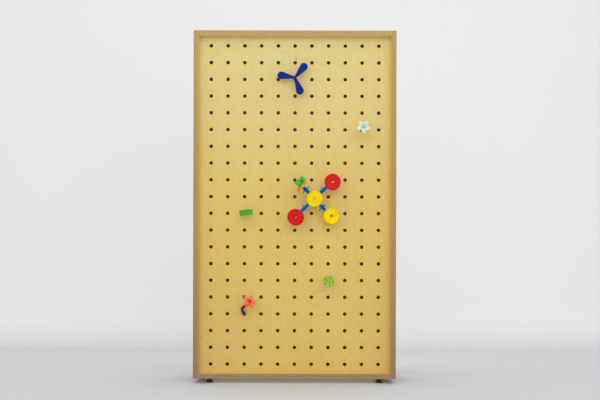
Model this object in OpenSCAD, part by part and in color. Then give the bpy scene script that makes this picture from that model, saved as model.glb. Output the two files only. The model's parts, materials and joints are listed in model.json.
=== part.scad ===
// Framed plywood peg board on short feet, with plug-in construction toys.
// Millimetres, +Z up, the front of the board faces -Y and +X is to the right.
// The origin is on the floor, under the centre of the whole assembly.

/* [Case] */
// Overall width of the plywood case
case_w = 600; // [580:5:680]
// Height of the case boards, without the feet
case_h = 1030; // [1010:5:1100]
// Depth of the case boards and back sheet together
case_d = 200; // [120:5:300]
// Thickness of the four case boards
ply_t = 15; // [12:1:18]
// How far the peg panel sits behind the front edges of the case
recess = 30; // [15:1:45]
// Thickness of the peg panel
panel_t = 12; // [9:1:15]
// Thickness of the back sheet
back_t = 6; // [4:1:9]
// Square section of the battens behind the peg panel
batten_w = 18; // [12:1:18]

/* [Peg holes] */
// Distance between neighbouring holes
pitch = 50; // [45:1:50]
// Number of hole columns
hole_cols = 11; // [11:1:11]
// Number of hole rows
hole_rows = 20; // [20:1:20]
// Diameter of every peg hole
hole_d = 11; // [10.6:0.1:12]

/* [Feet] */
// Height of the case above the floor
foot_h = 15; // [12:1:25]
// Diameter of a foot where it stands on the floor
foot_d = 22; // [18:1:30]
// Diameter of the steel stud of a foot
stud_d = 8; // [6:1:8]
// Distance of a foot's centre from the outer side face
foot_inset_x = 47; // [40:1:80]
// Distance of a foot's centre from the front or back face
foot_inset_y = 32; // [25:1:60]

/* [Plug-in pegs] */
// Diameter of the wooden pegs that plug into the holes
peg_d = 8; // [7:0.1:8]
// Depth that a peg reaches behind the front of the panel
peg_in = 28; // [20:1:40]
// Diameter of the slim axle on which a toy spins
axle_d = 4; // [3:0.5:5]
// Radial clearance of every turning or sliding fit
fit_gap = 0.05; // [0.02:0.01:0.1]

/* [Propeller] */
// Distance from the spin axis to the tip of a blade
blade_reach = 52.8; // [45:0.1:60]
// Radius of a blade's round end
blade_end_r = 11.4; // [8:0.1:14]
// Pitch angle of the blades
blade_pitch = 10; // [0:1:20]

/* [Flowers] */
// Distance from the axis to the tip of a white petal
white_petal_r = 20; // [16:0.5:24]
// Distance from the axis to the tip of a green petal
green_petal_r = 21; // [16:0.5:24]
// Distance from the axis to the tip of a red petal
red_petal_r = 22; // [16:0.5:24]
// Outer diameter of the bent stem
stem_d = 8.7; // [8:0.1:9.4]

/* [Spool cross] */
// Outer diameter of a spool
spool_d = 47; // [44:0.5:48]
// Thickness of a spool
spool_t = 20; // [18:0.5:22]
// Distance from the hub to the middle of the upper right spool
reach_ur = 72.4; // [70:0.1:76]
// Distance from the hub to the middle of the lower left spool
reach_ll = 77.1; // [74:0.1:80]
// Distance from the hub to the middle of the lower right spool
reach_lr = 71.2; // [69:0.1:76]
// Lean of the loose peg that carries the cross
cross_lean = 10.1; // [0:0.1:12]

/* [Hidden] */
$fn = 48;
over = 1;                                   // how far a cutter runs past a face
front_axle_z = 82;                          // seat of the foremost button, in front of the panel
toy_reach = front_axle_z + 5;               // foremost point of the toys, in front of the panel
front_reach = toy_reach - recess;           // the same, in front of the case
front_y = -(case_d - front_reach) / 2;      // front edges of the case boards
panel_y = front_y + recess;                 // front face of the peg panel
back_y = front_y + case_d;                  // outer face of the back sheet
board_d = case_d - back_t;                  // depth of the case boards
case_top = foot_h + case_h;
inner_w = case_w - 2 * ply_t;
inner_h = case_h - 2 * ply_t;
inner_z = foot_h + ply_t;                   // top face of the bottom board
top_row_z = inner_z + inner_h - pitch / 2;  // centre line of the top row of holes
fit_d = peg_d + 2 * fit_gap;                // bore that turns or slides on a peg
axle_fit_d = axle_d + 2 * fit_gap;          // bore that turns on an axle

birch = [0.86, 0.76, 0.50];
orange_wood = [0.85, 0.55, 0.25];

function hole_x(col) = (col - (hole_cols - 1) / 2) * pitch;
function hole_z(row) = top_row_z - row * pitch;

// Local axes of a peg hole: x right, y up, z out of the panel towards the front
module at_hole(col, row) {
    translate([hole_x(col), panel_y, hole_z(row)]) rotate([90, 0, 0]) children();
}

// ---------------------------------------------------------------- case

dowel_d = 6;
dowel_len = 30;
dowel_in_side = 9;
dowel_in_front = 24;                        // first dowel, behind the front edges
dowel_in_back = 40;                         // last dowel, in front of the outer back face
dowel_ys = [front_y + dowel_in_front, front_y + case_d / 2, back_y - dowel_in_back];

screw_d = 4;
screw_head_d = 8;
screw_head_h = 2.4;
panel_screw_len = 26;
back_screw_len = 26;
screw_gap = 0.1;                            // diametral room around a screw or dowel
screw_from_end = 95;                        // first screw of a tall side, from its end
side_screw_steps = 4;
end_screw_pitch = 0.31 * case_w;

// Places of the screws along the tall sides and along the top and bottom
side_screw_zs = [for (i = [0:side_screw_steps])
    foot_h + screw_from_end + i * (case_h - 2 * screw_from_end) / side_screw_steps];
end_screw_xs = [for (i = [-1:1]) i * end_screw_pitch];

// Children on each corner dowel's axis, x pointing from the side board inwards
module at_dowels() {
    for (side = [0, 1], z = [foot_h + ply_t / 2, case_top - ply_t / 2], y = dowel_ys)
        mirror([side, 0, 0])
            translate([-inner_w / 2 - dowel_in_side, y, z]) rotate([0, 90, 0]) children();
}

// Children at each panel screw, z running forwards from the battens' back face
module at_panel_screws() {
    y = panel_y + panel_t + batten_w;
    mid_x = (inner_w - batten_w) / 2;
    mid_z = (inner_h - batten_w) / 2;
    for (side = [-1, 1], z = side_screw_zs)
        translate([side * mid_x, y, z]) rotate([90, 0, 0]) children();
    for (end = [-1, 1], x = end_screw_xs)
        translate([x, y, inner_z + inner_h / 2 + end * mid_z]) rotate([90, 0, 0]) children();
}

// Children at each back screw, z running forwards from the back sheet's outer face
module at_back_screws() {
    mid_x = (case_w - ply_t) / 2;
    mid_z = (case_h - ply_t) / 2;
    for (side = [-1, 1], z = side_screw_zs)
        translate([side * mid_x, back_y, z]) rotate([90, 0, 0]) children();
    for (end = [-1, 1], x = end_screw_xs)
        translate([x, back_y, foot_h + case_h / 2 + end * mid_z]) rotate([90, 0, 0]) children();
}

// Countersunk screw with its head flush at z = 0; grow makes the hole that takes it
module countersunk(len, grow = 0) {
    cylinder(d1 = screw_head_d + grow, d2 = screw_d + grow, h = screw_head_h);
    cylinder(d = screw_d + grow, h = len + grow);
}

module dowel_holes() {
    at_dowels() cylinder(d = dowel_d + screw_gap, h = dowel_len + screw_gap);
}

module case_board(size, place) {
    difference() {
        translate(place) cube(size);
        dowel_holes();
        at_back_screws() countersunk(back_screw_len, screw_gap);
    }
}

module side_board() {
    color(birch)
        case_board([ply_t, board_d, case_h], [-case_w / 2, front_y, foot_h]);
}

module side_left() { side_board(); }
module side_right() { mirror([1, 0, 0]) side_board(); }

module top_board() {
    color(birch)
        case_board([inner_w, board_d, ply_t], [-inner_w / 2, front_y, case_top - ply_t]);
}

module bottom_board() {
    color(birch) difference() {
        case_board([inner_w, board_d, ply_t], [-inner_w / 2, front_y, foot_h]);
        for (x = foot_xs, y = foot_ys)
            translate([x, y, foot_h - over]) cylinder(d = nut_d, h = ply_t + 2 * over);
    }
}

module peg_panel() {
    color(birch) difference() {
        translate([-inner_w / 2, panel_y, inner_z]) cube([inner_w, panel_t, inner_h]);
        for (col = [0:hole_cols - 1], row = [0:hole_rows - 1])
            at_hole(col, row)
                translate([0, 0, -panel_t - over]) cylinder(d = hole_d, h = panel_t + 2 * over);
        at_panel_screws() countersunk(panel_screw_len, screw_gap);
    }
}

module back_panel() {
    color(birch) difference() {
        translate([-case_w / 2, back_y - back_t, foot_h]) cube([case_w, back_t, case_h]);
        at_back_screws() countersunk(back_screw_len, screw_gap);
    }
}

module batten(size, place) {
    color(birch) difference() {
        translate(place) cube(size);
        at_panel_screws() countersunk(panel_screw_len, screw_gap);
    }
}

module batten_left() {
    batten([batten_w, batten_w, inner_h - 2 * batten_w],
           [-inner_w / 2, panel_y + panel_t, inner_z + batten_w]);
}

module batten_right() {
    batten([batten_w, batten_w, inner_h - 2 * batten_w],
           [inner_w / 2 - batten_w, panel_y + panel_t, inner_z + batten_w]);
}

module batten_top() {
    batten([inner_w, batten_w, batten_w],
           [-inner_w / 2, panel_y + panel_t, inner_z + inner_h - batten_w]);
}

module batten_bottom() {
    batten([inner_w, batten_w, batten_w], [-inner_w / 2, panel_y + panel_t, inner_z]);
}

module corner_dowels() {
    color(orange_wood) at_dowels() cylinder(d = dowel_d, h = dowel_len);
}

module panel_screws() {
    color("silver") at_panel_screws() countersunk(panel_screw_len);
}

module back_screws() {
    color("silver") at_back_screws() countersunk(back_screw_len);
}

// ---------------------------------------------------------------- feet

nut_d = 12;                                 // outside of the threaded sleeve
nut_wall_gap = 0.05;                        // room between sleeve and board
nut_end_gap = 0.5;                          // sleeve stays this far inside each board face
foot_xs = [-case_w / 2 + foot_inset_x, case_w / 2 - foot_inset_x];
foot_ys = [front_y + foot_inset_y, back_y - foot_inset_y];
pad_h = foot_h - 1;                         // leaves a gap under the board
pad_neck_d = 13;
pad_rim_h = 3;
pad_cone_h = 6;
stud_depth = 6;                             // how far the stud reaches into the pad

module foot_nuts() {
    color("silver") for (x = foot_xs, y = foot_ys)
        translate([x, y, foot_h + nut_end_gap]) difference() {
            cylinder(d = nut_d - 2 * nut_wall_gap, h = ply_t - 2 * nut_end_gap);
            translate([0, 0, -over])
                cylinder(d = stud_d + 2 * fit_gap, h = ply_t + 2 * over);
        }
}

module foot_pad(side, end) {
    color([0.13, 0.12, 0.12]) translate([foot_xs[side], foot_ys[end], 0]) difference() {
        union() {
            cylinder(d = foot_d, h = pad_rim_h);
            translate([0, 0, pad_rim_h]) cylinder(d1 = foot_d, d2 = pad_neck_d, h = pad_cone_h);
            cylinder(d = pad_neck_d, h = pad_h);
        }
        translate([0, 0, pad_h - stud_depth]) cylinder(d = stud_d, h = stud_depth + over);
    }
}

module foot_stud(side, end) {
    color("silver") translate([foot_xs[side], foot_ys[end], pad_h - stud_depth])
        cylinder(d = stud_d, h = foot_h + ply_t - nut_end_gap - pad_h + stud_depth);
}

// ---------------------------------------------------------------- toy pegs

peg_tip_h = 1.5;                            // length of the chamfer at a peg's inner end
peg_tip_in = 1;                             // how far that chamfer runs inwards
axle_len = 6;                               // slim axle in front of a peg's shoulder
button_d = 6;                               // head of the button that holds a flower
button_dome_r = 5;
button_in = 12;                             // depth of the hole for the button's shaft
button_end_gap = 2;                         // air at the end of that hole
peg_end_gap = 0.5;                          // air at the end of a toy's own peg hole

// Round peg along +z, from inside the case to its shoulder at z = reach
module peg(reach) {
    translate([0, 0, -peg_in]) cylinder(d1 = peg_d - 2 * peg_tip_in, d2 = peg_d, h = peg_tip_h);
    translate([0, 0, peg_tip_h - peg_in]) cylinder(d = peg_d, h = reach + peg_in - peg_tip_h);
}

module peg_with_axle(reach, axle) {
    peg(reach);
    translate([0, 0, reach - over]) cylinder(d = axle_d, h = axle + over);
}

// Peg with a hole in its end for the shaft of a button
module peg_with_socket(reach) {
    difference() {
        peg(reach);
        translate([0, 0, reach - button_in]) cylinder(d = axle_fit_d, h = button_in + over);
    }
}

// Domed button: shaft from z = -shaft to the seat at z = 0, head in front of it
module button(shaft) {
    translate([0, 0, -shaft]) cylinder(d = axle_d, h = shaft + over);
    intersection() {
        cylinder(d = button_d, h = button_dome_r + over);
        sphere(r = button_dome_r);
    }
}

// ---------------------------------------------------------------- propeller

blade_t = 3;
blade_root_r = 2.9;
blade_mid_z = 33;                           // middle of the blades in front of the panel
rotor_hub_d = 9.5;
rotor_hub_h = 8;
rotor_angle = 50.6;                         // first blade, anticlockwise from +X

// Teardrop: two circles at 0 and at dist, joined by their outer tangents
module teardrop_2d(r1, r2, dist) {
    tilt = asin((r2 - r1) / dist);
    tangent = [-sin(tilt), cos(tilt)];
    mirrored = [tangent[0], -tangent[1]];
    circle(r = r1);
    translate([dist, 0]) circle(r = r2);
    polygon([r1 * mirrored, [dist, 0] + r2 * mirrored, [dist, 0] + r2 * tangent, r1 * tangent]);
}

module propeller_peg() {
    color(orange_wood) at_hole(5, 2)
        peg_with_axle(blade_mid_z - rotor_hub_h / 2 - over, axle_len);
}

module propeller() {
    color([0.13, 0.2, 0.57]) at_hole(5, 2) difference() {
        translate([0, 0, blade_mid_z]) union() {
            for (i = [0:2])
                rotate([0, 0, rotor_angle + i * 120]) rotate([blade_pitch, 0, 0])
                    translate([0, 0, -blade_t / 2]) linear_extrude(blade_t)
                        teardrop_2d(blade_root_r, blade_end_r, blade_reach - blade_end_r);
            translate([0, 0, -rotor_hub_h / 2]) cylinder(d = rotor_hub_d, h = rotor_hub_h);
        }
        translate([0, 0, blade_mid_z - rotor_hub_h / 2 - over])
            cylinder(d = axle_fit_d, h = axle_len + over);
    }
}

// ---------------------------------------------------------------- flowers

petal_t = 2.5;
petal_count = 5;
petal_steps = 8;                            // straight pieces in one side of a petal

function turned(p, a) = [p[0] * cos(a) - p[1] * sin(a), p[0] * sin(a) + p[1] * cos(a)];

// One side of a petal along +x, from its tip to the valley beside it: an arc that would pass
// through the axis
function petal_side(reach, width) = let (
        r = (reach * reach + width * width) / (4 * width),
        centre = [reach / 2, width / 2 - r],
        half = 180 / petal_count,
        valley = reach * cos(half) - (2 * r - width) * sin(half),
        tip_angle = atan2(-centre[1], reach / 2),
        valley_angle = atan2(valley * sin(half) - centre[1], valley * cos(half) - centre[0]),
        step = (valley_angle - tip_angle) / petal_steps)
    [for (i = [0:petal_steps]) centre + r * turned([1, 0], tip_angle + i * step)];

// Both sides of a petal, from just after one valley to the next one
function petal_outline(reach, width) = let (side = petal_side(reach, width))
    [for (i = [petal_steps - 1:-1:1]) [side[i][0], -side[i][1]], each side];

module petals(reach, width, thick, angle) {
    petal = petal_outline(reach, width);
    rotate([0, 0, angle]) linear_extrude(thick)
        polygon([for (i = [0:petal_count - 1], p = petal) turned(p, i * 360 / petal_count)]);
}

// Flower head with its front at z = 0: petals, and a cup behind them that reaches into them
module flower_head(reach, width, angle, cup_d, cup_h, bore_d) {
    difference() {
        union() {
            translate([0, 0, -petal_t]) petals(reach, width, petal_t, angle);
            translate([0, 0, -cup_h])
                cylinder(d1 = 0.7 * cup_d, d2 = cup_d, h = cup_h - petal_t / 2);
        }
        translate([0, 0, -cup_h - over]) cylinder(d = bore_d, h = cup_h + 2 * over);
    }
}

white_petal_w = 11.5;
white_turn = 270;                           // first petal, anticlockwise from +X
white_cup_d = 13;
white_cup_h = 11;

module white_flower_peg() {
    color(orange_wood) at_hole(9, 5) peg_with_socket(front_axle_z - white_cup_h - over);
}

module white_flower() {
    color([0.86, 0.92, 0.95]) at_hole(9, 5) translate([0, 0, front_axle_z - fit_gap])
        flower_head(white_petal_r, white_petal_w, white_turn, white_cup_d, white_cup_h, axle_fit_d);
}

module white_flower_button() {
    color([0.45, 0.72, 0.7]) at_hole(9, 5) translate([0, 0, front_axle_z])
        button(white_cup_h + over + button_in - button_end_gap);
}

green_petal_w = 12.5;
green_turn = 32;
star_front_z = 80;
star_cup_d = 15;
star_cup_h = 5;
star_axle_back = 1.5;                       // end of the axle, behind the star's front
backing_r = 16.5;
backing_petal_w = 10;
backing_turn = 68;
backing_t = 3;
backing_boss_d = 12;
backing_boss_h = 4;
star_reach = star_front_z - star_cup_h - backing_t - backing_boss_h - over;

module star_peg() {
    color(orange_wood) at_hole(7, 14)
        peg_with_axle(star_reach, star_front_z - star_axle_back - star_reach);
}

module green_flower() {
    color([0.6, 0.72, 0.2]) at_hole(7, 14) translate([0, 0, star_front_z])
        flower_head(green_petal_r, green_petal_w, green_turn, star_cup_d, star_cup_h, axle_fit_d);
}

module blue_backing() {
    color([0.22, 0.45, 0.68]) at_hole(7, 14)
        translate([0, 0, star_front_z - star_cup_h - backing_t]) difference() {
            union() {
                petals(backing_r, backing_petal_w, backing_t, backing_turn);
                translate([0, 0, -backing_boss_h])
                    cylinder(d = backing_boss_d, h = backing_boss_h + backing_t / 2);
            }
            translate([0, 0, -backing_boss_h - over])
                cylinder(d = axle_fit_d, h = backing_boss_h + backing_t + 2 * over);
        }
}

// ---------------------------------------------------------------- red flower on a bent stem

stem_out = 6;                               // straight length before the first bend
bend_1 = [11, 75, 115];                     // radius, turn, direction of the first bend
bend_2 = [14, 66, -22];                     // radius, turn, direction of the second bend
stem_end = 29;                              // straight length after the second bend
red_petal_w = 12.5;
red_turn = 24;
red_cup_d = 17;
red_cup_h = 26;
red_stem_in = 9;                            // depth of the stem in the flower's cup
bend_trim = 2;                              // degrees left out at each end of a bend
collar_h = 2;                               // collars that join the lengths of the stem
collar_proud = 0.5;

// Children carried to the end of a bend of radius r that turns towards an angle
module after_bend(bend) {
    rotate([0, 0, bend[2]])
        translate([bend[0] * (1 - cos(bend[1])), 0, bend[0] * sin(bend[1])])
            rotate([0, bend[1], 0]) rotate([0, 0, -bend[2]]) children();
}

// Round bend that starts along +z, cut a little short at both ends inside the collars
module bend_solid(bend) {
    rotate([0, 0, bend[2]]) translate([bend[0], 0, 0]) mirror([1, 0, 0]) rotate([90, 0, 0])
        rotate([0, 0, bend_trim]) rotate_extrude(angle = bend[1] - 2 * bend_trim)
            translate([bend[0], 0]) circle(d = stem_d);
}

// Children at the start of the stem's last straight length
module at_stem_end() {
    translate([0, 0, stem_out]) after_bend(bend_1) after_bend(bend_2) children();
}

// Children at the seat of the button, in the middle of the red petals
module at_red_front() {
    at_hole(2, 16) at_stem_end()
        translate([0, 0, stem_end - red_stem_in + red_cup_h]) children();
}

// Low collar round the stem that bridges two lengths at z = 0
module collar() {
    translate([0, 0, -collar_h / 2]) cylinder(d = stem_d + collar_proud, h = collar_h);
}

module red_flower_stem() {
    color([0.25, 0.15, 0.36]) at_hole(2, 16) {
        translate([0, 0, -peg_in]) cylinder(d = stem_d, h = peg_in + stem_out);
        translate([0, 0, stem_out]) {
            collar();
            bend_solid(bend_1);
            after_bend(bend_1) {
                collar();
                bend_solid(bend_2);
            }
        }
        at_stem_end() {
            collar();
            cylinder(d = stem_d, h = stem_end);
        }
    }
}

module red_flower() {
    color([0.93, 0.33, 0.22]) at_red_front() difference() {
        flower_head(red_petal_r, red_petal_w, red_turn, red_cup_d, red_cup_h, axle_fit_d);
        translate([0, 0, -red_cup_h - over])
            cylinder(d = stem_d + 2 * fit_gap, h = red_stem_in + over + fit_gap);
    }
}

module red_flower_button() {
    color([0.8, 0.1, 0.1]) at_red_front() button(red_cup_h - red_stem_in - button_end_gap);
}

// ---------------------------------------------------------------- green bar

bar_w = 39;
bar_t = 16.7;
bar_ridge_x = -2;                           // ridge line, from the middle of the bar
bar_ridge_h = 22;                           // height of the ridge over the flat back
bar_end_h = 2;                              // blunt ends
bar_tilt = 5.8;
bar_back_z = 42;                            // flat back of the bar, in front of the panel
bar_peg_x = -7.1;                           // peg hole, from the middle of the bar
bar_peg_in = 8;
bar_facet = [bar_w / 2 - bar_ridge_x, bar_ridge_h - bar_end_h];
bar_facet_angle = atan2(bar_facet[1], bar_facet[0]);

// Outline of the wedge, flat back on the x axis and ridge at the top
module wedge_2d() {
    polygon([[-bar_w / 2, 0], [bar_w / 2, 0], [bar_w / 2, bar_end_h],
             [bar_ridge_x, bar_ridge_h], [-bar_w / 2, bar_end_h]]);
}

module bar_peg() {
    color(orange_wood) at_hole(2, 10) peg(bar_back_z + bar_peg_in - peg_end_gap);
}

module green_bar() {
    color([0.27, 0.66, 0.27]) at_hole(2, 10) difference() {
        rotate([0, 0, bar_tilt]) translate([-bar_peg_x, bar_t / 2, bar_back_z])
            rotate([90, 0, 0]) linear_extrude(bar_t) wedge_2d();
        translate([0, 0, bar_back_z - over]) cylinder(d = fit_d, h = bar_peg_in + over);
    }
}

// ---------------------------------------------------------------- spool cross

cross_lean_to = -48.5;                       // direction in which the cross peg leans
hub_dist = 64.3;                            // hub centre, along the peg from mid-panel
hub_peg_in = 18;                            // depth of the peg in the hub
arm_angle = 43.8;                           // upper right arm, anticlockwise from +X
side_hole_count = 8;
side_hole_deep = 11;
pin_in = 10;                                // depth of a connector's pin in a side hole
pin_d = peg_d;
barrel_d = 10.8;
barrel_end_d = 8.8;
barrel_taper = 4;
arm_gap = 0.3;                              // air between a connector and a rim
fin_d = 28;
fin_t = 2;
fin_gap = 0.8;                              // room between the fin and each barrel
neck_in = 1;                                // overlap of the neck with each barrel
slot_len = 4.6;
slot_w = 2.6;
slot_wall = 1;                              // wall between a slot and the neck
slot_web = 2;                               // wall between the two slots of a barrel
spool_r = spool_d / 2;
spool_chamfer = 1.4;
spool_rim_w = 3.9;
spool_sink = 1.2;                           // depth of a sunken face
spool_slope = 0.8;                          // run of the slopes down to a sunken face
spool_ring_r = 8.5;
spool_ring_down = 0.3;                      // top of the ring, below the rim
bore_chamfer = 0.8;

// Children with z along the leaning peg and the hub's centre at the origin
module at_hub() {
    at_hole(6, 9) translate([0, 0, -panel_t / 2])
        rotate([0, 0, cross_lean_to]) rotate([0, cross_lean, 0]) rotate([0, 0, -cross_lean_to])
            translate([0, 0, hub_dist]) children();
}

// Children with x along an arm; quarter 0 is the upper right arm, then anticlockwise
module at_arm(quarter) {
    at_hub() rotate([0, 0, arm_angle + 90 * quarter]) children();
}

// Half section of a spool: chamfered rim, sunken faces and a raised ring round the bore
function spool_half() = let (
        r = spool_r,
        h = spool_t / 2,
        ring_z = h - spool_ring_down,
        floor_z = h - spool_sink,
        rim_in = r - spool_rim_w)
    [[fit_d / 2 + bore_chamfer, ring_z], [spool_ring_r, ring_z],
     [spool_ring_r + spool_slope, floor_z], [rim_in - spool_slope, floor_z],
     [rim_in, h], [r - spool_chamfer, h], [r, h - spool_chamfer]];

module spool_solid() {
    upper = spool_half();
    lower = [for (i = [len(upper) - 1:-1:0]) [upper[i][0], -upper[i][1]]];
    bore_r = fit_d / 2;
    bore_h = spool_t / 2 - spool_ring_down - bore_chamfer;
    rotate_extrude($fn = 96)
        polygon(concat([[bore_r, -bore_h], [bore_r, bore_h]], upper, lower));
}

// Spool with its round side holes, the first one along +x
module spool() {
    difference() {
        spool_solid();
        for (i = [0:side_hole_count - 1])
            rotate([0, 0, i * 360 / side_hole_count]) translate([spool_r - side_hole_deep, 0, 0])
                rotate([0, 90, 0]) cylinder(d = fit_d, h = side_hole_deep + over);
    }
}

// Half of a connector along +x: a pin and a tapered barrel with a slot in front and behind
module connector_half(start, stop, pin) {
    translate([start, 0, 0]) rotate([0, 90, 0]) difference() {
        union() {
            cylinder(d1 = barrel_end_d, d2 = barrel_d, h = barrel_taper);
            translate([0, 0, barrel_taper])
                cylinder(d = barrel_d, h = stop - start - barrel_taper);
            translate([0, 0, -pin]) cylinder(d = pin_d, h = pin + over);
        }
        for (side = [0, 1])
            mirror([side, 0, 0])
                translate([slot_web / 2, -slot_w / 2, stop - start - slot_wall - slot_len])
                    cube([barrel_d, slot_w, slot_len]);
    }
}

// Children beyond the middle of a connector that is bent by an angle
module beyond(mid, bend) {
    translate([mid, 0, 0]) rotate([0, 0, bend]) translate([-mid, 0, 0]) children();
}

// Connector from the hub's rim to x = far: two barrels with a neck for the fin between them
module connector(far, bend, far_pin = pin_in) {
    near = spool_r + arm_gap;
    mid = connector_mid(far);
    half_neck = fin_t / 2 + fin_gap;
    color([0.02, 0.42, 0.72]) union() {
        connector_half(near, mid - half_neck, pin_in);
        beyond(mid, bend) translate([2 * mid, 0, 0]) mirror([1, 0, 0])
            connector_half(2 * mid - far, mid - half_neck, far_pin);
        translate([mid - half_neck - neck_in, 0, 0]) rotate([0, 90, 0])
            cylinder(d = pin_d, h = 2 * (half_neck + neck_in));
    }
}

// Thin round fin on the neck in the middle of a connector
module fin(far) {
    mid = connector_mid(far);
    color([0.5, 0.75, 0.92]) translate([mid - fin_t / 2, 0, 0]) rotate([0, 90, 0]) difference() {
        cylinder(d = fin_d, h = fin_t);
        translate([0, 0, -over]) cylinder(d = fit_d, h = fin_t + 2 * over);
    }
}

far_ur = reach_ur - spool_r - arm_gap;
far_ll = reach_ll - spool_r - arm_gap;
far_lr = reach_lr - spool_r - arm_gap;
far_ul = 48.5;

// The slightly soft connectors are bent a little in their middle
bend_ur = -3.3;
bend_ul = 6.2;
bend_ll = 2.7;
bend_lr = -1.4;

twist_ur = -15;
twist_ll = 23;
twist_lr = -17;

// Middle of a connector that ends at far, where its fin sits
function connector_mid(far) = (spool_r + arm_gap + far) / 2;

// Outer spool on its arm, turned about the arm and reached by the connector's pin
module outer_spool(reach, far, bend, twist) {
    beyond(connector_mid(far), bend)
        translate([reach, 0, 0]) rotate([twist, 0, 0]) rotate([0, 0, 180]) spool();
}

module cross_peg() {
    color(orange_wood) at_hub() translate([0, 0, -hub_dist + panel_t / 2])
        peg(hub_dist - panel_t / 2 - spool_t / 2 + hub_peg_in);
}

module hub_spool() {
    color([0.96, 0.84, 0.03]) at_hub() rotate([0, 0, arm_angle]) spool();
}

module ur_connector() { at_arm(0) connector(far_ur, bend_ur); }
module ur_disc() { at_arm(0) fin(far_ur); }
module ur_spool() {
    color([0.83, 0.12, 0.12]) at_arm(0) outer_spool(reach_ur, far_ur, bend_ur, twist_ur);
}

module ll_connector() { at_arm(2) connector(far_ll, bend_ll); }
module ll_disc() { at_arm(2) fin(far_ll); }
module ll_spool() {
    color([0.83, 0.12, 0.12]) at_arm(2) outer_spool(reach_ll, far_ll, bend_ll, twist_ll);
}

module lr_connector() { at_arm(3) connector(far_lr, bend_lr); }
module lr_disc() { at_arm(3) fin(far_lr); }
module lr_spool() {
    color([0.97, 0.86, 0.03]) at_arm(3) outer_spool(reach_lr, far_lr, bend_lr, twist_lr);
}

orange_d = 38;
orange_t = 6.5;
orange_at = far_ul + arm_gap;               // near face of the orange disc
block_at = orange_at + orange_t + arm_gap;  // near face of the green block
block_pin_x = 7.8;                          // pin, from the block's square corner
block_pin_z = 9.5;                          // pin, behind the block's front face
block_hole = [18, 6.4];                     // front hole, from the corner and the near face
block_hole_d = 8.7;
block_hole_deep = 7;
ul_pin_in = orange_t + 2 * arm_gap + pin_in;

module ul_connector() { at_arm(1) connector(far_ul, bend_ul, ul_pin_in); }

module ul_disc() { at_arm(1) fin(far_ul); }

module orange_disc() {
    color([0.98, 0.58, 0.12]) at_arm(1) beyond(connector_mid(far_ul), bend_ul)
        translate([orange_at, 0, 0]) rotate([0, 90, 0]) difference() {
            cylinder(d = orange_d, h = orange_t);
            translate([0, 0, -over]) cylinder(d = fit_d, h = orange_t + 2 * over);
        }
}

// Same wedge as the green bar, its longer facet to the front and its corner outwards
module green_block() {
    color([0.33, 0.7, 0.27]) at_arm(1) beyond(connector_mid(far_ul), bend_ul) difference() {
        translate([block_at, block_pin_x, block_pin_z]) rotate([90, 0, 90])
            linear_extrude(bar_t) mirror([1, 0]) rotate(bar_facet_angle)
                translate([-bar_ridge_x, -bar_ridge_h]) wedge_2d();
        translate([block_at - over, 0, 0]) rotate([0, 90, 0])
            cylinder(d = fit_d, h = pin_in + over + fit_gap);
        translate([block_at + block_hole[1], block_pin_x - block_hole[0],
                   block_pin_z - block_hole_deep])
            cylinder(d = block_hole_d, h = block_hole_deep + over);
    }
}

// ---------------------------------------------------------------- named parts

side_left();
side_right();
top_board();
bottom_board();
peg_panel();
back_panel();
batten_left();
batten_right();
batten_top();
batten_bottom();
corner_dowels();
panel_screws();
back_screws();
foot_nuts();
foot_pad(0, 0);  // foot_front_left_pad
foot_stud(0, 0);  // foot_front_left_stud
foot_pad(1, 0);  // foot_front_right_pad
foot_stud(1, 0);  // foot_front_right_stud
foot_pad(0, 1);  // foot_back_left_pad
foot_stud(0, 1);  // foot_back_left_stud
foot_pad(1, 1);  // foot_back_right_pad
foot_stud(1, 1);  // foot_back_right_stud
propeller_peg();
propeller();
white_flower_peg();
white_flower();
white_flower_button();
star_peg();
green_flower();
blue_backing();
bar_peg();
green_bar();
red_flower_stem();
red_flower();
red_flower_button();
cross_peg();
hub_spool();
ur_connector();
ur_disc();
ur_spool();
ul_connector();
ul_disc();
orange_disc();
green_block();
ll_connector();
ll_disc();
ll_spool();
lr_connector();
lr_disc();
lr_spool();
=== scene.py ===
"""Looks of a framed plywood peg board with plug-in toys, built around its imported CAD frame.

Metres, +Z up. The board faces -Y. A toy's local axes are x right, y up, z out of the board.
"""

import json
import math
import random

import bmesh
import bpy
from mathutils import Matrix, Vector


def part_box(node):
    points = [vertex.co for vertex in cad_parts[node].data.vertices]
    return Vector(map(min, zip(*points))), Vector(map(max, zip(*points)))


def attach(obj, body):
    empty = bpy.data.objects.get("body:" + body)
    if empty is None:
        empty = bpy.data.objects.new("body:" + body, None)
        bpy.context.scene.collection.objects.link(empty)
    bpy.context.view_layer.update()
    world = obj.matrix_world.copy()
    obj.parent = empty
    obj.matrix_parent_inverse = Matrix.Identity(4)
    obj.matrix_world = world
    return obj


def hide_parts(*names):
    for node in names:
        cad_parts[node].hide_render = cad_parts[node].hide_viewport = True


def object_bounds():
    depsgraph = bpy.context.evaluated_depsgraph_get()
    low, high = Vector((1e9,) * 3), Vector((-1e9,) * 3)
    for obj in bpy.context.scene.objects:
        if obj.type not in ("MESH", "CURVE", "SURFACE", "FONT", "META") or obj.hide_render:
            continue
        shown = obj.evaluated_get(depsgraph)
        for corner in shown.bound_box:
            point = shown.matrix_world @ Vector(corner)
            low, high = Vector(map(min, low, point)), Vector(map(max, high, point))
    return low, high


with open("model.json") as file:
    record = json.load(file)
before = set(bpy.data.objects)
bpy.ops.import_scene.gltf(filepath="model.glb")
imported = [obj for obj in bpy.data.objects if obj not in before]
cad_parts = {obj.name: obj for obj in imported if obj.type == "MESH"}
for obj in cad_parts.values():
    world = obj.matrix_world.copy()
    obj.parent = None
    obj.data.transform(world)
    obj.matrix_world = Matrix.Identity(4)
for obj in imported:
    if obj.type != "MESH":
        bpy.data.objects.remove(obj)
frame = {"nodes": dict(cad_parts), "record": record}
cad_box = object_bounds()

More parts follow.
